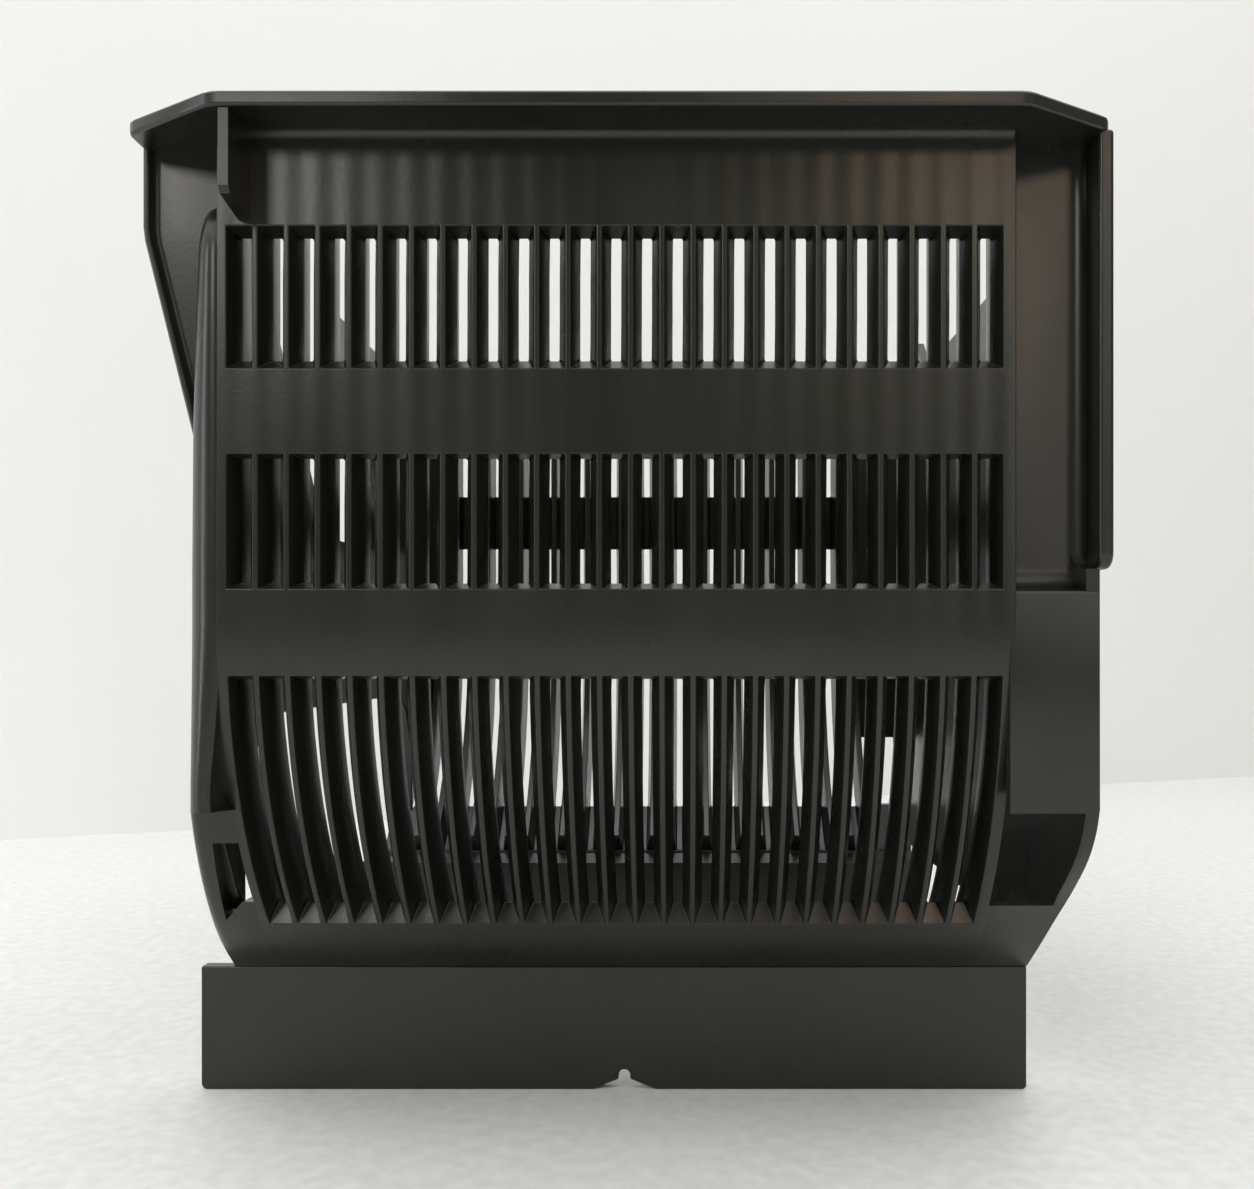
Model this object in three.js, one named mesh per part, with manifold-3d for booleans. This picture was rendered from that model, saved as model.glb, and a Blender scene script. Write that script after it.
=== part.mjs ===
// 200 mm wafer carrier: an open plastic box that holds 25 round wafers on edge.
// Millimetres, +Z up. X runs along the row of slots, Y across the two slotted side walls.
// The origin is the bottom centre of the whole carrier. Everything is modelled on the +Y
// side and mirrored to the -Y side.

import * as THREE from 'three';
import { mergeVertices } from 'three/addons/utils/BufferGeometryUtils.js';
import Module from 'manifold-3d';

const wasm = await Module();
wasm.setup();

// ---------------------------------------------------------------- driving dimensions

const LENGTH_HALF = 100.5; // end wall to H-bar face, half
const TOP_Z = 211.6;
const GAP = 0.3; // clearance kept between neighbouring members

// Row of wafer slots
const SLOTS = 25;
const PITCH = 6.35;
const FIRST_SLOT_X = -77.0;
const FIRST_RIB_X = FIRST_SLOT_X - PITCH / 2;
const WAFER_Z = 109.8; // height of the wafer centre

// Side wall: a flat plate above the wafer centre, an arc about it below
const WALL_OUT = 106.3;
const WALL_IN = 102.0;
const WALL_X0 = -81.6;
const WALL_X1 = 80.6;
const WALL_BOTTOM = 29.0;
const ARC_STEPS = 12;

// Windows between the ribs: funnels that narrow to a slit at the pocket bottom
const WINDOW_MOUTH = 5.3;
const WINDOW_SLIT = 2.08;
const WINDOW_ROWS = [
  { mouth: [160.5, 189.5], slit: [163.1, 188.2] },
  { mouth: [115.8, 143.2], slit: [117.2, 142.8] },
];
const LOW_WINDOW = { from: 6.6, to: 39.2, steps: 8 }; // degrees below the wafer centre

// Divider teeth
const TOOTH_ROOT = 4.24;
const TOOTH_TIP = 1.87;
const TOOTH_TIP_R = 94.0;
const TOOTH_TOP = 205.0;
const TOOTH_LEAD = 8.0; // length of the tapered lead-in at the top
const TOOTH_END = 49.0; // degrees below the wafer centre

// Top flange and its gusset
const FLANGE_OUT = 117.3;
const FLANGE_T = 3.0;
const FLANGE_UNDER = TOP_Z - FLANGE_T;
const GUSSET_X = [-77.2, -75.1];

// Foot rails
const RAIL_X = [-LENGTH_HALF, 94.0];
const RAIL_Y = [65.5, 69.0];
const NOTCH_X = -0.8;

// Left end wall with its flared top
const LEFT_X = -88.9;
const LEFT_T = 3.0;
const LEFT_FOOT_X = -92.9; // the column's foot spreads outward
const COLUMN_R = 7.0;
const FOOT_R = 3.0;
const FLARE_Z = [142.0, 191.0];
const EAR_OUT = 96.8;
const EAR_IN = 93.8;
const EAR_LIP = 99.0;

// Right end wall and H-bar
const RIGHT_X = 97.6;
const RIGHT_T = 2.8;
const RIGHT_FOOT_X = 94.0; // the end wall tapers in towards the rail
const TAPER_Z = 48.3;
const SHELF_Z = 115.6;
const HBAR_T = LENGTH_HALF - RIGHT_X - GAP;
const HBAR_BOTTOM = 120.0;

// Outer outline of the corner columns below the straight part, from the kink to the rail
const COLUMN_FOOT = [
  [106.3, 71.0],
  [104.6, 66.5],
  [101.3, 61.4],
  [96.9, 56.8],
  [92.0, 52.6],
  [87.0, 48.3],
  [81.6, 42.6],
  [75.5, 35.8],
  [69.0, WALL_BOTTOM],
];

// ---------------------------------------------------------------- helpers

const rad = (degrees) => (degrees * Math.PI) / 180;

// Point on a circle about the wafer centre line, `degrees` below the horizontal
function onArc(radius, degrees) {
  return [radius * Math.cos(rad(degrees)), WAFER_Z - radius * Math.sin(rad(degrees))];
}

// Points along such a circle, both ends included
function arcPoints(radius, from, to, steps) {
  const points = [];
  for (let i = 0; i <= steps; i++) {
    points.push(onArc(radius, from + ((to - from) * i) / steps));
  }
  return points;
}

// Angle at which a circle about the wafer centre reaches the height z
function angleAt(radius, z) {
  return (Math.asin((WAFER_Z - z) / radius) * 180) / Math.PI;
}

function shapeOf(points) {
  return new THREE.Shape(points.map(([u, v]) => new THREE.Vector2(u, v)));
}

function prism(points, depth) {
  return new THREE.ExtrudeGeometry(shapeOf(points), { depth, bevelEnabled: false });
}

// Outline in (Y, Z), thickness along X
function plateX(points, x0, x1) {
  const basis = new THREE.Matrix4().makeBasis(
    new THREE.Vector3(0, 1, 0),
    new THREE.Vector3(0, 0, 1),
    new THREE.Vector3(1, 0, 0),
  );
  return prism(points, x1 - x0).applyMatrix4(basis).translate(x0, 0, 0);
}

// Outline in (X, Z), thickness along Y
function plateY(points, y0, y1) {
  const basis = new THREE.Matrix4().makeBasis(
    new THREE.Vector3(1, 0, 0),
    new THREE.Vector3(0, 0, 1),
    new THREE.Vector3(0, -1, 0),
  );
  return prism(points, y1 - y0).applyMatrix4(basis).translate(0, y1, 0);
}

// Outline in (X, Y), thickness along Z
function plateZ(points, z0, z1) {
  return prism(points, z1 - z0).translate(0, 0, z0);
}

// Ruled solid between two outlines in (X, Y) that have the same number of corners
function loftZ(low, z0, high, z1) {
  const geometry = plateZ(high, z0, z1);
  const position = geometry.getAttribute('position');
  for (let i = 0; i < position.count; i++) {
    if (position.getZ(i) > (z0 + z1) / 2) {
      continue;
    }
    const [x, y] = [position.getX(i), position.getY(i)];
    const k = high.findIndex(([u, v]) => Math.hypot(u - x, v - y) < 1e-3);
    position.setXY(i, ...low[k]);
  }
  return geometry;
}

function box(x, y, z) {
  const size = [x, y, z].map(([low, high]) => high - low);
  const middle = [x, y, z].map(([low, high]) => (low + high) / 2);
  return new THREE.BoxGeometry(...size).translate(...middle);
}

// Section swept down the arc about the wafer centre line at x: the section's u runs
// along X and its v outward from `radius`
class WaferArc extends THREE.Curve {
  constructor(x, radius, from, to) {
    super();
    this.x = x;
    this.radius = radius;
    this.from = from;
    this.to = to;
  }

  getPoint(t, target = new THREE.Vector3()) {
    const [y, z] = onArc(this.radius, this.from + (this.to - this.from) * t);
    return target.set(this.x, y, z);
  }
}

function sweepArc(section, x, radius, from, to, steps) {
  const extrudePath = new WaferArc(x, radius, from, to);
  return new THREE.ExtrudeGeometry(shapeOf(section), { steps, extrudePath });
}

// Four-sided funnel along Y: rectangles [x half-width, z low, z high] at y0 and y1
function funnel(x, y0, [half0, low0, high0], y1, [half1, low1, high1]) {
  const geometry = new THREE.BoxGeometry(2, y1 - y0, 2).translate(0, (y0 + y1) / 2, 0);
  const position = geometry.getAttribute('position');
  for (let i = 0; i < position.count; i++) {
    const outer = position.getY(i) > (y0 + y1) / 2;
    const half = outer ? half1 : half0;
    const low = outer ? low1 : low0;
    const high = outer ? high1 : high0;
    position.setX(i, x + Math.sign(position.getX(i)) * half);
    position.setZ(i, position.getZ(i) > 0 ? high : low);
  }
  return geometry;
}

function solid(geometry) {
  const bare = geometry.clone();
  bare.deleteAttribute('normal');
  bare.deleteAttribute('uv');
  const merged = mergeVertices(bare, 1e-4);
  const vertProperties = new Float32Array(merged.getAttribute('position').array);
  const triVerts = new Uint32Array(merged.getIndex().array);
  return new wasm.Manifold(new wasm.Mesh({ numProp: 3, vertProperties, triVerts }));
}

function union(geometries) {
  return geometries.map(solid).reduce((sum, item) => sum.add(item));
}

function mirrored(geometry) {
  const copy = geometry.clone().scale(1, -1, 1);
  const index = copy.getIndex() ? Array.from(copy.getIndex().array) : null;
  const order = index ?? Array.from({ length: copy.getAttribute('position').count }, (_, i) => i);
  for (let i = 0; i < order.length; i += 3) {
    const swap = order[i + 1];
    order[i + 1] = order[i + 2];
    order[i + 2] = swap;
  }
  copy.setIndex(order);
  return copy;
}

function geometryOf(manifold) {
  const { numProp, vertProperties, triVerts } = manifold.getMesh();
  const positions = new Float32Array((vertProperties.length / numProp) * 3);
  for (let i = 0; i < positions.length / 3; i++) {
    for (let k = 0; k < 3; k++) {
      positions[3 * i + k] = vertProperties[numProp * i + k];
    }
  }
  const geometry = new THREE.BufferGeometry();
  geometry.setAttribute('position', new THREE.BufferAttribute(positions, 3));
  geometry.setIndex(new THREE.BufferAttribute(new Uint32Array(triVerts), 1));
  return geometry;
}

// ---------------------------------------------------------------- divider teeth

function toothSection(root, rootRadius) {
  return [
    [-TOOTH_TIP / 2, TOOTH_TIP_R - WALL_IN],
    [TOOTH_TIP / 2, TOOTH_TIP_R - WALL_IN],
    [root / 2, rootRadius - WALL_IN],
    [-root / 2, rootRadius - WALL_IN],
  ];
}

// One tooth: tapered lead-in, straight part, then the arc under the wafer
function tooth(x, rootRadius) {
  const section = toothSection(TOOTH_ROOT, rootRadius);
  const straightTop = TOOTH_TOP - TOOTH_LEAD;
  const outline = section.map(([u, v]) => [x + u, WALL_IN + v]);
  const straight = plateZ(outline, WAFER_Z, straightTop);
  const lead = new THREE.CylinderGeometry(0.5, 1, TOOTH_LEAD, 4, 1).rotateX(Math.PI / 2);
  const position = lead.getAttribute('position');
  for (let i = 0; i < position.count; i++) {
    const top = position.getZ(i) > 0;
    const centre = Math.hypot(position.getX(i), position.getY(i)) < 0.1;
    const corner = Math.round(Math.atan2(position.getY(i), position.getX(i)) / (Math.PI / 2));
    const [u, v] = section[((corner % 4) + 4) % 4];
    const width = top ? 0.3 : 1;
    const depth = centre ? (TOOTH_TIP_R + rootRadius) / 2 : WALL_IN + v;
    const inward = top && !centre && v < -4 ? rootRadius - 2 : depth;
    const y = top && centre ? rootRadius - 1 : inward;
    position.setXYZ(i, centre ? x : x + u * width, y, top ? TOOTH_TOP : straightTop);
  }
  const arc = sweepArc(section, x, WALL_IN, 0, TOOTH_END, ARC_STEPS - 2);
  return union([straight, arc]).add(solid(lead));
}

// ---------------------------------------------------------------- side wall

function sideWall() {
  const outerEnd = angleAt(WALL_OUT, WALL_BOTTOM);
  const innerEnd = angleAt(WALL_IN, WALL_BOTTOM);
  const outline = [
    [WALL_OUT, FLANGE_UNDER - GAP],
    ...arcPoints(WALL_OUT, 0, outerEnd, ARC_STEPS),
    ...arcPoints(WALL_IN, 0, innerEnd, ARC_STEPS).reverse(),
    [WALL_IN, FLANGE_UNDER - GAP],
  ];
  let wall = solid(plateX(outline, WALL_X0, WALL_X1));

  const thickness = WALL_OUT - WALL_IN;
  const past = 0.6; // the cutters run past both faces of the wall
  const flare = (WINDOW_MOUTH - WINDOW_SLIT) / 2 / thickness;
  const halfIn = WINDOW_SLIT / 2 - flare * past;
  const halfOut = WINDOW_MOUTH / 2 + flare * past;
  const lowSection = [
    [-halfIn, -past],
    [halfIn, -past],
    [halfOut, thickness + past],
    [-halfOut, thickness + past],
  ];
  for (let slot = 0; slot < SLOTS; slot++) {
    const x = FIRST_SLOT_X + slot * PITCH;
    for (const { mouth, slit } of WINDOW_ROWS) {
      const low = ((slit[0] - mouth[0]) / thickness) * past;
      const high = ((mouth[1] - slit[1]) / thickness) * past;
      const inner = [halfIn, slit[0] + low, slit[1] - high];
      const outer = [halfOut, mouth[0] - low, mouth[1] + high];
      wall = wall.subtract(solid(funnel(x, WALL_IN - past, inner, WALL_OUT + past, outer)));
    }
    const { from, to, steps } = LOW_WINDOW;
    wall = wall.subtract(solid(sweepArc(lowSection, x, WALL_IN, from, to, steps)));
  }

  // The first and last teeth are one with the plate's ends
  const lastRibX = FIRST_RIB_X + SLOTS * PITCH;
  const beyond = box([WALL_X0 - 5, WALL_X0], [0, 120], [0, TOP_Z]);
  const first = tooth(FIRST_RIB_X, WALL_IN + 0.2).subtract(solid(beyond));
  return wall.add(first).add(tooth(lastRibX, WALL_IN + 0.2));
}

// ---------------------------------------------------------------- top flange, gusset, rail

function topFlange() {
  const outline = [
    [-LENGTH_HALF, EAR_IN],
    [WALL_X0 - GAP, EAR_IN],
    [WALL_X0 - GAP, WALL_IN],
    [WALL_X1 + GAP, WALL_IN],
    [WALL_X1 + GAP, EAR_IN],
    [LENGTH_HALF - 0.9, EAR_IN],
    [LENGTH_HALF - 0.9, 105.4],
    [LENGTH_HALF - 1.7, 106.8],
    [81.4, 116.6],
    [78.4, FLANGE_OUT],
    [-76.7, FLANGE_OUT],
    [-80.4, 116.4],
    [-99.6, 104.9],
    [-LENGTH_HALF, 103.4],
  ];
  return solid(plateZ(outline, FLANGE_UNDER, TOP_Z));
}

function gusset() {
  const outline = [
    [WALL_OUT + GAP, 190.6],
    [FLANGE_OUT - 0.8, 192.8],
    [FLANGE_OUT - 0.8, FLANGE_UNDER - GAP],
    [WALL_OUT + GAP, FLANGE_UNDER - GAP],
  ];
  return solid(plateX(outline, ...GUSSET_X));
}

function footRail() {
  const top = WALL_BOTTOM - GAP;
  const notch = [
    [NOTCH_X - 7.5, 0],
    [NOTCH_X - 1.35, 2.4],
    [NOTCH_X - 1.35, 3.6],
    [NOTCH_X - 0.7, 4.6],
    [NOTCH_X + 0.7, 4.6],
    [NOTCH_X + 1.35, 3.6],
    [NOTCH_X + 1.35, 2.4],
    [NOTCH_X + 7.5, 0],
  ];
  const outline = [[RAIL_X[0], top], [RAIL_X[0], 0], ...notch, [RAIL_X[1], 0], [RAIL_X[1], top]];
  return solid(plateY(outline, ...RAIL_Y));
}

// ---------------------------------------------------------------- left end wall

// Plan outline of the corner column, with its round outer corner
function leftColumnPlan(x0, radius) {
  const plan = [[WALL_X0 - GAP, 62], [WALL_X0 - GAP, WALL_OUT]];
  for (let i = 0; i <= 5; i++) {
    const angle = rad(90 + 18 * i);
    const y = WALL_OUT - radius + radius * Math.sin(angle);
    plan.push([x0 + radius + radius * Math.cos(angle), y]);
  }
  plan.push([x0, 62]);
  return plan;
}

function leftColumn() {
  const outline = [
    [EAR_OUT, FLANGE_UNDER - GAP],
    [EAR_OUT, 197.5],
    [98.5, 194.6],
    [101.2, 192.2],
    [104, 190.5],
    [WALL_OUT, 189.5],
    ...COLUMN_FOOT,
    [66, WALL_BOTTOM],
    [77.5, 42.3],
    [79.2, 46.5],
    [79.5, 58],
    ...arcPoints(EAR_IN, 0, angleAt(EAR_IN, 64), ARC_STEPS).reverse(),
    [EAR_IN, FLANGE_UNDER - GAP],
  ];
  const block = solid(plateX(outline, LEFT_FOOT_X, WALL_X0 - GAP));
  const straight = leftColumnPlan(LEFT_X, COLUMN_R);
  const foot = leftColumnPlan(LEFT_FOOT_X, FOOT_R);
  const plan = union([
    plateZ(foot, 20, 42),
    loftZ(foot, 42, straight, 67),
    plateZ(straight, 67, TOP_Z),
  ]);
  const opening = [
    [-83.8, 63.3],
    [WALL_X0, 63.3],
    [WALL_X0, 47.8],
    [-84.6, 47.8],
    [-88.6, 42.8],
  ];
  return block.intersect(plan).subtract(solid(plateY(opening, 50, 120)));
}

function leftEndWall() {
  const flare = [
    [-LENGTH_HALF, TOP_Z],
    [-LENGTH_HALF, FLARE_Z[1]],
    [LEFT_X, FLARE_Z[0]],
    [LEFT_X, WALL_BOTTOM],
    [LEFT_X + LEFT_T, WALL_BOTTOM],
    [LEFT_X + LEFT_T, FLARE_Z[0]],
    [-LENGTH_HALF + LEFT_T, FLARE_Z[1]],
    [-LENGTH_HALF + LEFT_T, TOP_Z],
  ];
  const half = EAR_IN - GAP;
  const arc = arcPoints(half, 0, angleAt(half, WALL_BOTTOM), ARC_STEPS);
  const right = [[half, TOP_Z], ...arc];
  const left = right.map(([y, z]) => [-y, z]).reverse();
  const face = solid(plateX([...left, ...right], -LENGTH_HALF - 1, LEFT_X + LEFT_T + 1));
  let wall = solid(plateY(flare, -half, half)).intersect(face);
  const notch = box([-110, -80], [-26, 26], [135.4, TOP_Z + 5]);
  const lowGap = [[-79, 10], [79, 10], [79, 64], [71, 82], [62, 88], [-62, 88], [-71, 82], [-79, 64]];
  wall = wall.subtract(solid(notch)).subtract(solid(plateX(lowGap, -110, -80)));

  const ear = [
    [-LENGTH_HALF, FLANGE_UNDER - GAP],
    [-LENGTH_HALF, FLARE_Z[1]],
    [LEFT_X, FLARE_Z[0]],
    [LEFT_X + LEFT_T, FLARE_Z[0]],
    [LEFT_X + LEFT_T, FLANGE_UNDER - GAP],
  ];
  const lip = [
    [-LENGTH_HALF, FLANGE_UNDER - GAP],
    [-LENGTH_HALF, FLARE_Z[1]],
    [LEFT_X, FLARE_Z[0]],
    [LEFT_X + 1.6, FLARE_Z[0]],
    [-LENGTH_HALF + 1.6, FLARE_Z[1]],
    [-LENGTH_HALF + 1.6, FLANGE_UNDER - GAP],
  ];
  const plates = union([plateY(ear, half - 0.5, EAR_OUT), plateY(lip, EAR_OUT - 0.5, EAR_LIP)]);
  const side = plates.add(leftColumn());
  const join = solid(box([LEFT_X, LEFT_X + LEFT_T], [half - 1, EAR_OUT - 1], [110, 188]));
  const corner = side.add(join);
  return { wall, corner };
}

// ---------------------------------------------------------------- right end wall, H-bar

function rightPanel() {
  const t = RIGHT_T;
  const inner = [
    [WALL_OUT - t, 71.5],
    [101.6, 67.6],
    [98.6, 63.2],
    [94.8, 59.1],
    [90.0, 54.9],
    [85.0, 50.6],
    [79.6, 44.8],
    [73.4, 37.9],
    [66.4, WALL_BOTTOM],
  ];
  const outline = [
    [97, FLANGE_UNDER - GAP],
    [97, SHELF_Z],
    [WALL_OUT, SHELF_Z],
    ...COLUMN_FOOT,
    ...inner.reverse(),
    [WALL_OUT - t, SHELF_Z - t],
    [97 - t, SHELF_Z - t],
    [97 - t, FLANGE_UNDER - GAP],
  ];
  const panel = solid(plateX(outline, WALL_X1 + GAP, RIGHT_X - RIGHT_T + 0.2));
  const opening = solid(box([WALL_X1 - 1, RIGHT_X - RIGHT_T + 0.5], [70, 110], [47, 70.2]));
  return panel.subtract(opening);
}

function rightEndWall() {
  const right = [
    [62, TOP_Z],
    [EAR_IN - GAP, TOP_Z],
    [EAR_IN - GAP, FLANGE_UNDER - GAP],
    [97, FLANGE_UNDER - GAP],
    [97, HBAR_BOTTOM + 3],
    [WALL_OUT, HBAR_BOTTOM - GAP],
    ...COLUMN_FOOT.slice(0, -1),
    [70, 39],
  ];
  const left = right.map(([y, z]) => [-y, z]).reverse();
  const dip = [[-48, 198.5], [48, 198.5]];
  const outline = [...left, ...dip, ...right];
  const plate = solid(plateX(outline, RIGHT_X - RIGHT_T, RIGHT_X));
  const panel = rightPanel();
  const other = solid(mirrored(geometryOf(panel)));
  const taper = [
    [RIGHT_X, TAPER_Z],
    [RIGHT_FOOT_X, WALL_BOTTOM],
    [RIGHT_FOOT_X, WALL_BOTTOM - 5],
    [RIGHT_X + 5, WALL_BOTTOM - 5],
    [RIGHT_X + 5, TAPER_Z],
  ];
  return plate.add(panel).add(other).subtract(solid(plateY(taper, -120, 120)));
}

function hBar() {
  const top = FLANGE_UNDER - GAP;
  const [out, inn, r] = [WALL_OUT, 80, 3];
  const outline = [
    [-out, top],
    [-out, HBAR_BOTTOM + r],
    [-out + 0.9, HBAR_BOTTOM + 0.9],
    [-out + r, HBAR_BOTTOM],
    [-inn, HBAR_BOTTOM],
    [-inn, 152],
    [inn, 152],
    [inn, HBAR_BOTTOM],
    [out - r, HBAR_BOTTOM],
    [out - 0.9, HBAR_BOTTOM + 0.9],
    [out, HBAR_BOTTOM + r],
    [out, top],
    [inn, top],
    [inn, 172],
    [-inn, 172],
    [-inn, top],
  ];
  return solid(plateX(outline, RIGHT_X + GAP, RIGHT_X + GAP + HBAR_T));
}

// ---------------------------------------------------------------- assembly

const carrier = new THREE.Group();
carrier.name = 'wafer_carrier';

function addMesh(name, geometry, color) {
  const material = new THREE.MeshStandardMaterial({ color, roughness: 0.42, metalness: 0 });
  const flat = geometry.toNonIndexed();
  flat.computeVertexNormals();
  const mesh = new THREE.Mesh(flat, material);
  mesh.name = name;
  carrier.add(mesh);
}

// Adds the +Y member as back_NAME and its mirror image as front_NAME
function addPair(name, manifold, color) {
  const geometry = geometryOf(manifold);
  addMesh(`back_${name}`, geometry, color);
  addMesh(`front_${name}`, mirrored(geometry), color);
}

addPair('side_wall', sideWall(), 0x2b2c29);
for (let i = 1; i < SLOTS; i++) {
  const name = `divider_${String(i).padStart(2, '0')}`;
  addPair(name, tooth(FIRST_RIB_X + i * PITCH, WALL_IN - GAP), 0x292a27);
}
addPair('top_flange', topFlange(), 0x2f302d);
addPair('gusset', gusset(), 0x2d2e2b);
addPair('foot_rail', footRail(), 0x2d2d2a);

const { wall: flaredWall, corner } = leftEndWall();
const otherCorner = solid(mirrored(geometryOf(corner)));
addMesh('flared_end_wall', geometryOf(flaredWall.add(corner).add(otherCorner)), 0x2b2c2a);
addMesh('h_bar_end_wall', geometryOf(rightEndWall()), 0x2b2c2a);
addMesh('h_bar', geometryOf(hBar()), 0x2e2f2c);

export default carrier;
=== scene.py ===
"""Looks of the wafer carrier: one black moulding with 25 slots, on a pale table.

Lengths are in millimetres until new_piece() turns them into metres. X runs along the slots from the
flared end to the H-bar end, the front is at -Y, and Z is up from the surface the rails stand on.
"""

import math

import bmesh
import bpy
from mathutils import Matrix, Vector


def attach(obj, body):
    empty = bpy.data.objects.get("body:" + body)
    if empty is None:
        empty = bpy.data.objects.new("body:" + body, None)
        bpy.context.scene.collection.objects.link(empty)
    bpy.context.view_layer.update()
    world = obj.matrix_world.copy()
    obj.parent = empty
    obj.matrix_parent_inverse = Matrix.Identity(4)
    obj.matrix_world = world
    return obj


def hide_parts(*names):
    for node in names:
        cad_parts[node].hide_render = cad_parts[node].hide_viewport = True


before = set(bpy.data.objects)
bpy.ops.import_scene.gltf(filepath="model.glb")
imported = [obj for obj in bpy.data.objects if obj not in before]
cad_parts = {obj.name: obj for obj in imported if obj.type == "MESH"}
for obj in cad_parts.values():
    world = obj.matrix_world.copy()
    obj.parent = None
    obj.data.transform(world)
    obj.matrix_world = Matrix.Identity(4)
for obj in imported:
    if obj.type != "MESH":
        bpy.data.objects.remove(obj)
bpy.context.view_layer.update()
scene = bpy.context.scene

MM = 0.001

SLOTS = 25
PITCH = 6.35
FIRST_RIB = -80.175  # X of the first tooth's middle
WAFER_Z = 109.8  # height of the wafers' centre
TIP_R = 94.0  # the teeth reach in to this radius

WALL_OUT = 106.3  # side wall's outer and inner face, upright above the wafers' centre, round below it
WALL_IN = 102.0
WALL_X0 = -81.6
WALL_X1 = 80.6
WALL_BOTTOM = 29.0

TOP_Z = 211.6
UNDER = 208.6  # underside of the flanges
EAR_OUT = 96.8
EAR_IN = 93.8
EAR_TOP_Z = 190.8  # crease of the ear
FOOT_TOP = 70.3  # step between a flared end's column and its foot
SHELF_Z = 115.6  # shelf below the H-bar end's recess


# ---------------------------------------------------------------- camera

def add_camera():
    """Level view of the front side from 0.34 m, with a small shift for the framing."""
    data = bpy.data.cameras.new("view")
    data.sensor_width = 36.0
    data.lens = 32.58
    data.shift_x = -0.0439
    data.shift_y = 0.0467
    data.clip_start = 0.01
    data.clip_end = 20.0
    cam = bpy.data.objects.new("view", data)
    cam.location = (0.0128, -0.3363, 0.1028)
    cam.rotation_euler = (math.radians(90), 0.0, 0.0)
    scene.collection.objects.link(cam)
    scene.camera = cam


add_camera()


# ---------------------------------------------------------------- materials

def node_tree(name):
    material = bpy.data.materials.new(name)
    material.use_nodes = True
    tree = material.node_tree
    tree.nodes.clear()
    out = tree.nodes.new("ShaderNodeOutputMaterial")
    bsdf = tree.nodes.new("ShaderNodeBsdfPrincipled")
    tree.links.new(bsdf.outputs["BSDF"], out.inputs["Surface"])
    return material, tree, bsdf


def noise(tree, scale, detail, stretch=(1, 1, 1)):
    coords = tree.nodes.new("ShaderNodeTexCoord")
    mapping = tree.nodes.new("ShaderNodeMapping")
    mapping.inputs["Scale"].default_value = stretch
    tex = tree.nodes.new("ShaderNodeTexNoise")
    tex.inputs["Scale"].default_value = scale
    tex.inputs["Detail"].default_value = detail
    tree.links.new(coords.outputs["Object"], mapping.inputs["Vector"])
    tree.links.new(mapping.outputs["Vector"], tex.inputs["Vector"])
    return tex.outputs["Fac"]


def ramp(tree, fac, stops):
    node = tree.nodes.new("ShaderNodeValToRGB")
    elements = node.color_ramp.elements
    while len(elements) < len(stops):
        elements.new(0.5)
    for element, (position, colour) in zip(elements, stops):
        element.position = position
        element.color = (*colour, 1.0) if len(colour) == 3 else (colour[0],) * 3 + (1.0,)
    tree.links.new(fac, node.inputs["Fac"])
    return node.outputs["Color"]


def black_plastic(name, sink_marks=False):
    """Carbon-filled plastic: near black, semi-gloss, faint flow marks and fine scratches.

    With sink_marks the skin ripples at the pitch of the ribs behind it.
    """
    material, tree, bsdf = node_tree(name)
    link = tree.links.new
    cloud = noise(tree, 22.0, 4.0, (1, 1, 0.5))
    link(ramp(tree, cloud, [(0.3, (0.0085, 0.0095, 0.0065)), (0.7, (0.0140, 0.0150, 0.0105))]),
         bsdf.inputs["Base Color"])
    flow = noise(tree, 40.0, 6.0, (1.2, 1.2, 0.25))
    link(ramp(tree, flow, [(0.25, (0.22,)), (0.75, (0.36,))]), bsdf.inputs["Roughness"])
    bsdf.inputs["IOR"].default_value = 1.52
    height = noise(tree, 900.0, 3.0)
    bumps = [(height, 0.10, 0.0002), (noise(tree, 60.0, 2.0, (1, 1, 0.35)), 0.16, 0.0006)]
    if sink_marks:
        coords = tree.nodes.new("ShaderNodeTexCoord")
        axes = tree.nodes.new("ShaderNodeSeparateXYZ")
        link(coords.outputs["Object"], axes.inputs["Vector"])
        turns = tree.nodes.new("ShaderNodeMath")
        turns.operation = "MULTIPLY_ADD"
        turns.inputs[1].default_value = 2 * math.pi / (PITCH * MM)
        turns.inputs[2].default_value = 2 * math.pi * -FIRST_RIB / PITCH
        link(axes.outputs["X"], turns.inputs[0])
        wave = tree.nodes.new("ShaderNodeMath")
        wave.operation = "COSINE"
        link(turns.outputs[0], wave.inputs[0])
        bumps.append((wave.outputs[0], 0.5, 0.00006))
    normal = None
    for source, strength, distance in bumps:
        bump = tree.nodes.new("ShaderNodeBump")
        bump.inputs["Strength"].default_value = strength
        bump.inputs["Distance"].default_value = distance
        link(source, bump.inputs["Height"])
        if normal:
            link(normal, bump.inputs["Normal"])
        normal = bump.outputs["Normal"]
    link(normal, bsdf.inputs["Normal"])
    return material


PLASTIC = black_plastic("black_plastic")
RIBBED_PLASTIC = black_plastic("black_plastic_ribbed", sink_marks=True)


# ---------------------------------------------------------------- mesh helpers

def new_piece(name, verts, faces, bevel=0.0, segments=2, angle=35, smooth=True,
              material=None):
    """A mesh object from millimetre points, with a small bevel on its sharp edges."""
    mesh = bpy.data.meshes.new(name)
    mesh.from_pydata([tuple(c * MM for c in v) for v in verts], [], faces)
    bm = bmesh.new()
    bm.from_mesh(mesh)
    bmesh.ops.remove_doubles(bm, verts=bm.verts, dist=1e-6)
    bmesh.ops.recalc_face_normals(bm, faces=bm.faces)
    bm.to_mesh(mesh)
    bm.free()
    mesh.materials.append(material or PLASTIC)
    obj = bpy.data.objects.new(name, mesh)
    scene.collection.objects.link(obj)
    if bevel:
        add_bevel(obj, bevel, segments, angle)
    if smooth:
        shade(obj, angle)
    return obj


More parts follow.
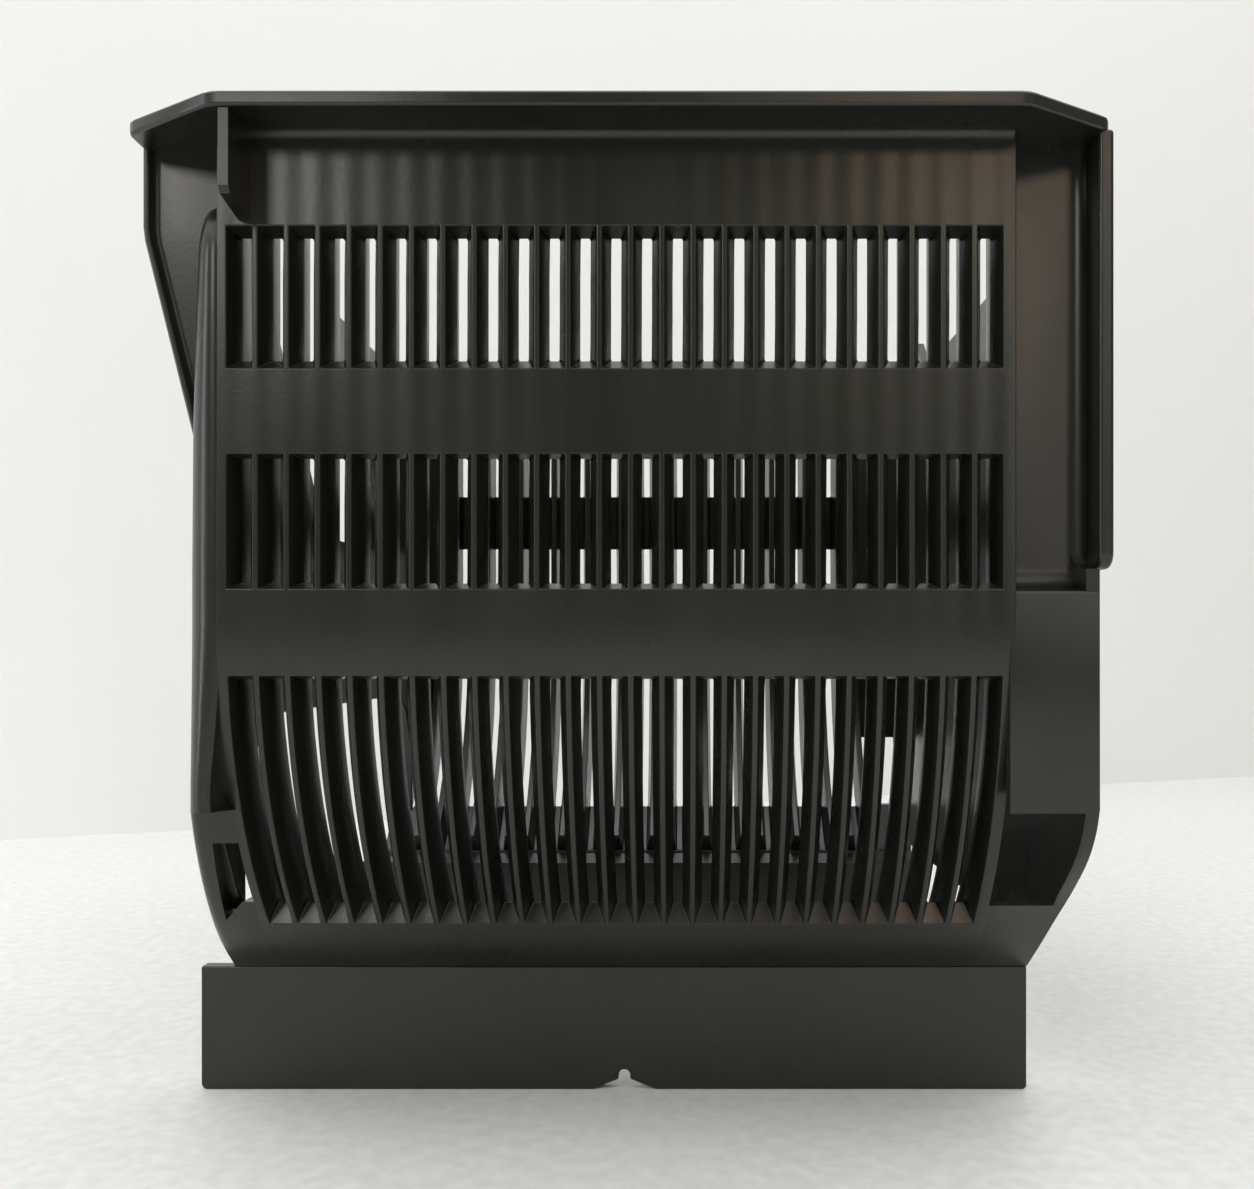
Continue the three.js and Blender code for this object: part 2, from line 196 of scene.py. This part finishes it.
def add_bevel(obj, width, segments, angle):
    mod = obj.modifiers.new("edge", "BEVEL")
    mod.width = width * MM
    mod.segments = segments
    mod.limit_method = "ANGLE"
    mod.angle_limit = math.radians(angle)
    mod.use_clamp_overlap = True
    mod.harden_normals = True


def shade(obj, angle):
    """Smooth shading, with the edges sharper than the angle kept sharp."""
    obj.data.shade_smooth()
    obj.data.set_sharp_from_angle(angle=math.radians(angle))


def flip_y(verts, faces):
    return [(x, -y, z) for x, y, z in verts], [tuple(reversed(f)) for f in faces]


def prism(outline, low, high, place):
    """Closed prism of a 2-D outline; place(u, v, w) gives the 3-D point."""
    n = len(outline)
    verts = [place(u, v, low) for u, v in outline] + [place(u, v, high) for u, v in outline]
    faces = [tuple(range(n)), tuple(range(2 * n - 1, n - 1, -1))]
    faces += [(i, i + n, (i + 1) % n + n, (i + 1) % n) for i in range(n)]
    return verts, faces


def along_x(outline, x0, x1):
    return prism(outline, x0, x1, lambda u, v, w: (w, u, v))


def along_y(outline, y0, y1):
    return prism(outline, y0, y1, lambda u, v, w: (u, w, v))


def along_z(outline, z0, z1):
    return prism(outline, z0, z1, lambda u, v, w: (u, v, w))


def merged(*parts):
    verts, faces = [], []
    for part_verts, part_faces in parts:
        start = len(verts)
        verts += part_verts
        faces += [tuple(start + i for i in f) for f in part_faces]
    return verts, faces


def pair(name, part, nodes, **options):
    """The back piece and its mirror image in front, each standing for its CAD nodes."""
    for side, geometry in (("back", part), ("front", flip_y(*part))):
        obj = new_piece(f"{side}_{name}", *geometry, **options)
        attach(obj, "root")
        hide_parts(*[f"{side}_{node}" for node in nodes])


def finish_piece(obj, *nodes):
    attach(obj, "root")
    if nodes:
        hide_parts(*nodes)


def on_profile(radius, p):
    """(y, z) at p: -p millimetres above the wafers' centre, or p degrees round below it."""
    if p <= 0:
        return radius, WAFER_Z - p
    a = math.radians(p)
    return radius * math.cos(a), WAFER_Z - radius * math.sin(a)


# ---------------------------------------------------------------- ribbed wall with teeth

def ribbed_wall():
    """One continuous moulding: plate, window funnels and divider teeth."""
    end_out = math.degrees(math.asin((WAFER_Z - WALL_BOTTOM) / WALL_OUT))
    end_in = math.degrees(math.asin((WAFER_Z - WALL_BOTTOM) / WALL_IN))
    # from the top down, each row is (outer p, inner p, window below it, teeth below it)
    rows = []

    def span(o0, i0, o1, i1, steps, window, tooth):
        for k in range(steps):
            t = k / steps
            rows.append((o0 + (o1 - o0) * t, i0 + (i1 - i0) * t, window, tooth))

    span(-99.2, -99.2, -95.2, -95.2, 1, False, 0)
    span(-95.2, -95.2, -87.0, -87.0, 4, False, 1)
    span(-87.0, -87.0, -79.7, -78.4, 1, False, 1)
    span(-79.7, -78.4, -50.7, -53.3, 3, True, 1)
    span(-50.7, -53.3, -33.4, -33.0, 2, False, 1)
    span(-33.4, -33.0, -6.0, -7.4, 3, True, 1)
    span(-6.0, -7.4, 0.0, 0.0, 1, False, 1)
    span(0.0, 0.0, 6.32, 6.98, 4, False, 1)
    span(6.32, 6.98, 39.6, 38.2, 24, True, 1)
    span(39.6, 38.2, end_out - 0.6, end_in - 3.4, 6, False, 1)
    rows.append((end_out - 0.6, end_in - 3.4, False, 0))
    rows.append((end_out, end_in, False, 0))

    verts, faces = [], []

    def add(x, radius, p):
        y, z = on_profile(radius, p)
        verts.append((x, y, z))
        return len(verts) - 1

    count = len(rows)
    outer, inner, tips = [], [], []
    for po, pi, _, _ in rows:
        # beside the column, the wall runs on under the column's edge
        x_start = WALL_X0 - (1.8 * min(1.0, po / 4.0) if 0.0 < po < 21.5 else 0.0)
        xs_out = [x_start]
        xs_in = [x_start]
        for j in range(SLOTS):
            centre = FIRST_RIB + PITCH * (j + 0.5)
            xs_out += [centre - 2.65, centre + 2.65]
            xs_in += [centre - 1.04, centre + 1.04]
        xs_out.append(WALL_X1)
        xs_in.append(WALL_X1 + 0.15)
        outer.append([add(x, WALL_OUT, po) for x in xs_out])
        inner.append([add(x, WALL_IN, pi) for x in xs_in])
        lead = max(0.0, min(1.0, (-pi - 87.0) / 8.2))
        row_tips = []
        for i in range(SLOTS + 1):
            x = FIRST_RIB + PITCH * i
            half = 0.935 * (1 - 0.75 * lead)
            radius = TIP_R + 5.5 * lead ** 1.5
            row_tips.append((add(x - half, radius, pi), add(x + half, radius, pi)))
        tips.append(row_tips)

    for k in range(count - 1):
        window = rows[k][2]
        tooth = rows[k][3]
        for c in range(2 * SLOTS + 1):
            slot = c % 2 == 1
            if slot and window:
                continue
            faces.append((outer[k][c], outer[k][c + 1], outer[k + 1][c + 1], outer[k + 1][c]))
            if slot or not tooth:
                faces.append((inner[k][c], inner[k + 1][c], inner[k + 1][c + 1], inner[k][c + 1]))
                continue
            a0, a1 = tips[k][c // 2]
            b0, b1 = tips[k + 1][c // 2]
            faces.append((inner[k][c], inner[k + 1][c], b0, a0))
            faces.append((a0, b0, b1, a1))
            faces.append((a1, b1, inner[k + 1][c + 1], inner[k][c + 1]))
        if window:  # sides of the funnels
            for j in range(SLOTS):
                left, right = 1 + 2 * j, 2 + 2 * j
                faces.append((outer[k][left], outer[k + 1][left],
                              inner[k + 1][left], inner[k][left]))
                faces.append((outer[k][right], inner[k][right],
                              inner[k + 1][right], outer[k + 1][right]))
        if k and rows[k - 1][2] != window:  # top or bottom of the funnels
            for j in range(SLOTS):
                left, right = 1 + 2 * j, 2 + 2 * j
                faces.append((outer[k][left], outer[k][right], inner[k][right], inner[k][left]))
        if k and bool(rows[k - 1][3]) != bool(tooth):  # end of the teeth
            for i in range(SLOTS + 1):
                a, b = tips[k][i]
                faces.append((inner[k][2 * i], a, b, inner[k][2 * i + 1]))
        # the two ends of the wall
        faces.append((outer[k][0], outer[k + 1][0], inner[k + 1][0], inner[k][0]))
        faces.append((outer[k][-1], inner[k][-1], inner[k + 1][-1], outer[k + 1][-1]))
    last = count - 1
    for i in range(SLOTS + 1):
        a, b = tips[last - 1][i]
        faces.append((inner[last - 1][2 * i], a, b, inner[last - 1][2 * i + 1]))
    for k in (0, last):
        for c in range(2 * SLOTS + 1):
            faces.append((outer[k][c], outer[k][c + 1], inner[k][c + 1], inner[k][c]))
    return verts, faces


pair("ribbed_wall", ribbed_wall(),
     ["side_wall"] + [f"divider_{i:02d}" for i in range(1, SLOTS)], bevel=0.28, segments=2,
     material=RIBBED_PLASTIC)


# ---------------------------------------------------------------- top flange with its gusset

def arc(centre, radius, start, stop, steps):
    """Points on a circle, angles in degrees."""
    angles = [math.radians(start + (stop - start) * k / steps) for k in range(steps + 1)]
    return [(centre[0] + radius * math.cos(a), centre[1] + radius * math.sin(a)) for a in angles]


FLANGE = [
    (-100.5, 93.2), (-81.9, 93.2), (-81.9, 102.4), (80.9, 102.4), (80.9, 93.2), (99.6, 93.2),
    (99.6, 105.2), (99.0, 106.3), (97.6, 107.3), (81.6, 116.5), (80.2, 117.1), (78.4, 117.3),
    (-76.7, 117.3), (-78.6, 117.1), (-80.4, 116.4), (-98.8, 105.4), (-100.0, 104.4),
    (-100.5, 103.2),
]
pair("flange", along_z(FLANGE, UNDER, TOP_Z), ["top_flange"], bevel=0.7, segments=4)

JUNCTION = [(WALL_OUT - 0.8, UNDER + 0.6)] + arc((WALL_OUT + 1.6, UNDER - 1.6), 1.6, 90, 180, 5)
GUSSET = [
    (WALL_OUT - 0.8, 190.4), (115.6, 192.2), (116.5, 193.4), (116.5, UNDER + 0.6),
    (WALL_OUT - 0.8, UNDER + 0.6),
]
pair("gusset",
     merged(along_x(GUSSET, -77.2, -75.1), along_x(JUNCTION, -81.0, 80.2)),
     ["gusset"], bevel=0.4, segments=3)


# ---------------------------------------------------------------- foot rails

NOTCH = -0.8  # X of the locating notch
RAIL = [
    (-100.5, WALL_BOTTOM), (-100.5, 1.2), (-100.1, 0.3), (-99.3, 0.0), (NOTCH - 7.5, 0.0),
    (NOTCH - 1.35, 2.4), (NOTCH - 1.35, 3.6), (NOTCH - 0.7, 4.6), (NOTCH + 0.7, 4.6),
    (NOTCH + 1.35, 3.6), (NOTCH + 1.35, 2.4), (NOTCH + 7.5, 0.0), (93.4, 0.0), (94.0, 0.6),
    (94.0, WALL_BOTTOM),
]
WEB = [
    (65.8, 33.0), (65.8, 27.0), (68.7, 27.0), (68.7, 29.4), (70.6, 31.4), (68.0, 33.0),
]
pair("foot_rail", merged(along_y(RAIL, 65.5, 69.0), along_x(WEB, -92.0, 93.4)), ["foot_rail"],
     bevel=0.45, segments=3)


# ---------------------------------------------------------------- corner columns

# the H-bar end's foot in (y, z): upright column, curve inward, straight slope down to the rail
FOOT = [
    (106.3, 71.0), (104.6, 66.5), (101.3, 61.4), (96.9, 56.8), (92.0, 52.6), (87.0, 48.3),
    (81.6, 42.6), (75.5, 35.8), (69.0, WALL_BOTTOM),
]


def smooth_path(points, steps):
    """Catmull-Rom curve through the points."""
    path = []
    ends = [points[0]] + points + [points[-1]]
    for k in range(1, len(ends) - 2):
        p0, p1, p2, p3 = (Vector(ends[k + d]) for d in (-1, 0, 1, 2))
        for j in range(steps):
            t = j / steps
            path.append(tuple(0.5 * (2 * p1 + (p2 - p0) * t + (2 * p0 - 5 * p1 + 4 * p2 - p3) * t * t
                                     + (3 * p1 - p0 - 3 * p2 + p3) * t ** 3)))
    path.append(points[-1])
    return path


FOOT_CURVE = smooth_path(FOOT, 3)


def carve(obj, *cutters):
    """Cuts closed solids out of the piece and keeps the result as its mesh."""
    for part in cutters:
        tool = new_piece("cutter", *part, smooth=False)
        cut = obj.modifiers.new("cut", "BOOLEAN")
        cut.operation = "DIFFERENCE"
        cut.solver = "EXACT"
        cut.object = tool
        bpy.context.view_layer.update()
        evaluated = obj.evaluated_get(bpy.context.evaluated_depsgraph_get())
        result = bpy.data.meshes.new_from_object(evaluated)
        obj.modifiers.remove(cut)
        obj.data = result
        bpy.data.objects.remove(tool)


def soften(obj, width, segments=3, angle=35):
    """Bevel and shading for a piece that has been carved."""
    add_bevel(obj, width, segments, angle)
    shade(obj, angle)


def loft(rings):
    """Closed skin over equal rings of 3-D points."""
    n = len(rings[0])
    verts = [p for ring in rings for p in ring]
    faces = [tuple(range(n)), tuple(range(len(verts) - 1, len(verts) - n - 1, -1))]
    for k in range(len(rings) - 1):
        for i in range(n):
            j = (i + 1) % n
            faces.append((k * n + i, (k + 1) * n + i, (k + 1) * n + j, k * n + j))
    return verts, faces


def column_ring(x0, inner, y, z, corner, deep, edge):
    """Section of the column: an elliptic outer corner, and a small slope beside the wall."""
    ring = [(inner, deep), (inner, y - edge[1]), (inner - edge[0], y - edge[1] / 3)]
    ring += [(x0 + corner[0] * (1 + u), y - corner[1] * (1 - v))
             for u, v in arc((0.0, 0.0), 1.0, 90, 180, 9)]
    ring.append((x0, deep))
    return [(px, py, z) for px, py in ring]


def flared_column():
    """Round-cornered column on a thinner foot; its top melts into the ear."""
    rings = []
    for z in (29.0, 33.0, 37.0, 41.0, 45.0, 49.0, 53.0, 57.0, 61.0, 65.0, FOOT_TOP - 0.3):
        y = math.sqrt(WALL_OUT ** 2 - (WAFER_Z - z) ** 2) + 0.25
        x0 = -91.0 - 2.2 * min(1.0, (FOOT_TOP - z) / 32)
        rings.append(column_ring(x0, -80.6, y, z, (2.5, 2.5), y - 5.5, (1.4, 0.45)))
    rows = [(106.3, z) for z in (FOOT_TOP, 76, 84, 92, 100, 108, 120, 150, 170, 184)]
    rows += [(97.0 + 9.3 * math.cos(math.radians(a)), 184 + 12.5 * math.sin(math.radians(a)))
             for a in (15, 30, 45, 58, 70, 80, 88)]
    for y, z in rows:
        x0 = -88.9 + 1.5 * max(0.0, min(1.0, (z - 135) / 50)) ** 1.5
        inner = -83.2 + 2.8 * max(0.0, min(1.0, (z - 76) / 32))
        corner = (min(7.0, inner - 1.5 - x0), 7.0)
        rings.append(column_ring(x0, inner, y, z, corner, y - 14.0, (0.6, 0.9)))
    return loft(rings)


def flared_skin():
    """End wall seen from the side: it leans out above the wafers and ends in the ears."""
    return [
        (-100.3, TOP_Z - 0.2), (-100.3, 191.8), (-100.1, 190.4), (-89.4, 144.0),
        (-88.7, 141.0), (-88.7, WALL_BOTTOM + 6), (-86.0, WALL_BOTTOM + 6), (-86.0, 141.4),
        (-97.3, 190.4), (-97.5, 191.8), (-97.5, TOP_Z - 0.2),
    ]


def flared_wall():
    """The flared end's skin, with its notch, the gap below it and its edges beside the columns."""
    half = EAR_OUT - 1.0
    wall = new_piece("flared_end_wall", *along_y(flared_skin(), -half, half), smooth=False)
    notch = [(-26, 135.4), (26, 135.4), (27.5, TOP_Z + 5), (-27.5, TOP_Z + 5)]
    low_gap = [(-79, 20), (79, 20), (79, 64), (71, 82), (62, 88), (-62, 88), (-71, 82), (-79, 64)]
    outside = [(half + 10, 20), (half + 10, 71), (half + 0.1, 71)]
    outside += [on_profile(WALL_OUT - 3.5, p) for p in (23, 28, 34, 40, 46)] + [(52.0, 20)]
    mirror_outside = [(-y, z) for y, z in outside]
    carve(wall, along_x(notch, -110, -80), along_x(low_gap, -110, -80),
          along_x(outside, -110, -80), along_x(mirror_outside, -110, -80))
    soften(wall, 0.5)
    finish_piece(wall, "flared_end_wall")


flared_wall()

def ear_edge(z):
    """X of the ear's outer edge at a height: straight above the crease, sloping below it."""
    t = max(0.0, min(1.0, (EAR_TOP_Z - z) / (EAR_TOP_Z - 142.5)))
    return -100.5 + 11.4 * t


def ear():
    """Plate beside the pilaster: its outer edge turns forward, its lower part leans back."""
    rings = []
    for z in (UNDER + 0.5, 200.0, 192.2, 189.4, 180.0, 168.0, 156.0, 143.0):
        x0 = ear_edge(z)
        y = EAR_OUT - 1.4 * max(0.0, (EAR_TOP_Z - z) / 48.0)
        ring = [(-81.4, EAR_IN - 3.4), (-81.4, y), (x0 + 3.5, y), (x0 + 2.8, y)]
        ring.append((x0 + 2.2, y + 0.35))
        ring += [(x0 + 1.8, y + 1.0), (x0 + 1.3, y + 1.6), (x0 + 0.6, y + 1.6)]
        ring += [(x0 + 0.15, y + 1.1), (x0, y + 0.4), (x0, EAR_IN - 3.4)]
        rings.append([(px, py, z) for px, py in ring])
    return loft(rings)


def flared_corner():
    """Both columns, each with the V-shaped rinse opening in its foot."""
    part = flared_column()
    for side, geometry in (("back", part), ("front", flip_y(*part))):
        sign = 1 if side == "back" else -1
        column = new_piece(f"{side}_flared_column", *geometry, smooth=False)
        opening = [(-86.9, 62.4), (-80, 62.4), (-80, 48.0), (-84.0, 48.0), (-88.9, 43.2)]
        opening_part = along_y(opening, 60, 120)
        carve(column, opening_part if sign > 0 else flip_y(*opening_part))
        soften(column, 0.5)
        finish_piece(column)


flared_corner()
EAR_WEB = [(-82.4, EAR_IN), (-81.2, EAR_IN), (-81.2, WALL_IN + 0.8), (-82.4, WALL_IN + 0.8)]
pair("ear", merged(ear(), along_z(EAR_WEB, 184.0, UNDER + 0.4)), [], bevel=0.4, segments=2)


# ---------------------------------------------------------------- H-bar end

def h_bar_panel():
    """Section of the recessed panel, the shelf below it and the column below that."""
    t = 2.8
    skin = [(97.0, UNDER + 0.6), (97.0, 121.0)]
    skin += [(97.4, 118.6), (98.4, 117.0), (100.2, 116.2), (104.6, SHELF_Z + 0.1)]
    skin += arc((105.2, SHELF_Z - 1.0), 1.0, 80, 0, 3)
    skin += [(y - 0.12, z) for y, z in FOOT_CURVE]
    inside = [(66.0, WALL_BOTTOM)]
    inside += [(y - 2.5, z + 1.2) for y, z in reversed(FOOT_CURVE[1:-1])]
    inside += [(106.2 - t, 74.0), (106.2 - t, SHELF_Z - t - 1), (94.2, SHELF_Z - t - 1),
               (94.2, UNDER + 0.6)]
    return skin + inside


PLATE_X = (94.8, 97.6)  # H-bar end wall, inner and outer face
TAPER_Z = 50.0  # below this the end wall and its columns slope in to the rail's end
PLATE_TAPER = [
    (PLATE_X[1], TAPER_Z), (97.3, 47.5), (94.0, WALL_BOTTOM), (94.0, 20.0), (120, 20.0),
    (120, TAPER_Z),
]


def h_bar_end():
    """End plate, both recessed panels with their columns, and the fillets in the recesses."""
    top = TOP_Z - 0.2
    right = [(48, 198.5), (62, top), (95.5, top), (96.9, UNDER), (96.9, 124.0),
             (98.6, 121.6), (102.0, 120.4), (106.0, 119.9), (106.0, SHELF_Z)]
    right += [(y - 0.2, z) for y, z in FOOT_CURVE[:-4]] + [(70, 34)]
    outline = right + [(-y, z) for y, z in reversed(right)]
    plate = new_piece("h_bar_end_wall", *along_x(outline, *PLATE_X), smooth=False)
    carve(plate, along_y(PLATE_TAPER, -120, 120))
    soften(plate, 0.6)
    finish_piece(plate, "h_bar_end_wall")
    part = along_x(h_bar_panel(), 79.4, 97.4)
    opening = along_z([(78.5, 60), (95.2, 60), (95.2, 115), (78.5, 115)], 47.0, 70.2)
    for side, mirror in (("back", False), ("front", True)):
        panel = new_piece(f"{side}_h_bar_column", *(flip_y(*part) if mirror else part),
                          smooth=False)
        cuts = [opening, along_y(PLATE_TAPER, 0, 120)]
        carve(panel, *[flip_y(*cut) if mirror else cut for cut in cuts])
        soften(panel, 0.6)
        finish_piece(panel)
    fillet = [(94.6, 96.4), (94.6, 97.0)] + arc((94.6, 100.2), 3.2, 270, 360, 8)
    fillet += [(98.6, 100.2), (98.6, 96.4)]
    pair("recess_fillet", along_z(fillet, 119.5, UNDER + 0.6), [], bevel=0.0, segments=1)


h_bar_end()


def h_bar():
    """The H-shaped rib: two legs with a rounded lower corner, and a crossbar between them."""
    out, inn, r = WALL_OUT, 80.0, 3.2
    half = [(inn, 152.0), (inn, 120.0)] + arc((out - r, 120.0 + r), r, -90, 0, 5)
    half += [(out, UNDER + 0.6), (inn, UNDER + 0.6), (inn, 172.0)]
    outline = half + [(-y, z) for y, z in reversed(half)]
    bar = new_piece("h_bar", *along_x(outline, 97.4, 100.5), bevel=0.8, segments=3)
    finish_piece(bar, "h_bar")


h_bar()


# ---------------------------------------------------------------- table, wall and light

def stage_material(name, low, high, scale, roughness):
    material, tree, bsdf = node_tree(name)
    tex = noise(tree, scale, 5.0)
    tree.links.new(ramp(tree, tex, [(0.3, low), (0.7, high)]), bsdf.inputs["Base Color"])
    bsdf.inputs["Roughness"].default_value = roughness
    return material


def stage_plane(name, corners, material):
    mesh = bpy.data.meshes.new(name)
    mesh.from_pydata(corners, [], [(0, 1, 2, 3)])
    mesh.materials.append(material)
    obj = bpy.data.objects.new(name, mesh)
    scene.collection.objects.link(obj)


def add_stage():
    """A pale table pushed at a slant against a white wall behind the carrier."""
    left = (-316.0, 305.0)
    right = (416.0, 582.0)
    along = Vector(right) - Vector(left)
    a = Vector(left) - 3 * along
    b = Vector(right) + 3 * along
    stage_plane("table", [(-2.6, -2.4, 0), (3.2, -2.4, 0), (b.x * MM, b.y * MM, 0),
                          (a.x * MM, a.y * MM, 0)],
                stage_material("pale_table", (0.74, 0.745, 0.73), (0.85, 0.855, 0.84), 260.0, 0.5))
    stage_plane("white_wall", [(a.x * MM, a.y * MM, -0.2), (b.x * MM, b.y * MM, -0.2),
                               (b.x * MM, b.y * MM, 2.2), (a.x * MM, a.y * MM, 2.2)],
                stage_material("white_wall", (0.89, 0.90, 0.88), (0.92, 0.93, 0.91), 2.0, 0.8))


add_stage()


def area_light(name, location, target, size, power, colour=(1, 1, 1)):
    data = bpy.data.lights.new(name, "AREA")
    data.shape = "RECTANGLE"
    data.size, data.size_y = size
    data.energy = power
    data.color = colour
    obj = bpy.data.objects.new(name, data)
    obj.location = location
    obj.rotation_euler = (Vector(target) - Vector(location)).to_track_quat("-Z", "Y").to_euler()
    scene.collection.objects.link(obj)


area_light("ceiling", (0.0, -0.35, 1.6), (0, -0.35, 0), (4.0, 3.0), 49.0)
area_light("wall_wash", (0.1, -0.1, 1.4), (0.1, 0.5, 0.2), (1.8, 0.4), 4.2)
area_light("upper_left", (-0.72, -1.35, 0.78), (-0.05, -0.1, 0.16), (0.42, 0.34), 3.4,
           (1.0, 0.97, 0.92))
area_light("left_strip", (-1.25, -0.55, 0.35), (-0.08, -0.1, 0.12), (0.16, 0.9), 3.2,
           (0.93, 0.97, 1.0))
area_light("warm_lamp", (0.46, -1.5, 0.80), (0.08, -0.1, 0.18), (0.30, 0.26), 1.05,
           (1.0, 0.70, 0.46))
area_light("right_strip", (0.62, -1.4, 0.47), (0.1, -0.1, 0.15), (0.10, 0.5), 0.7,
           (0.96, 0.98, 1.0))

world = bpy.data.worlds.new("room")
scene.world = world
world.use_nodes = True
world.node_tree.nodes["Background"].inputs["Color"].default_value = (0.95, 0.98, 0.95, 1.0)
world.node_tree.nodes["Background"].inputs["Strength"].default_value = 0.16

scene.view_settings.view_transform = "Standard"
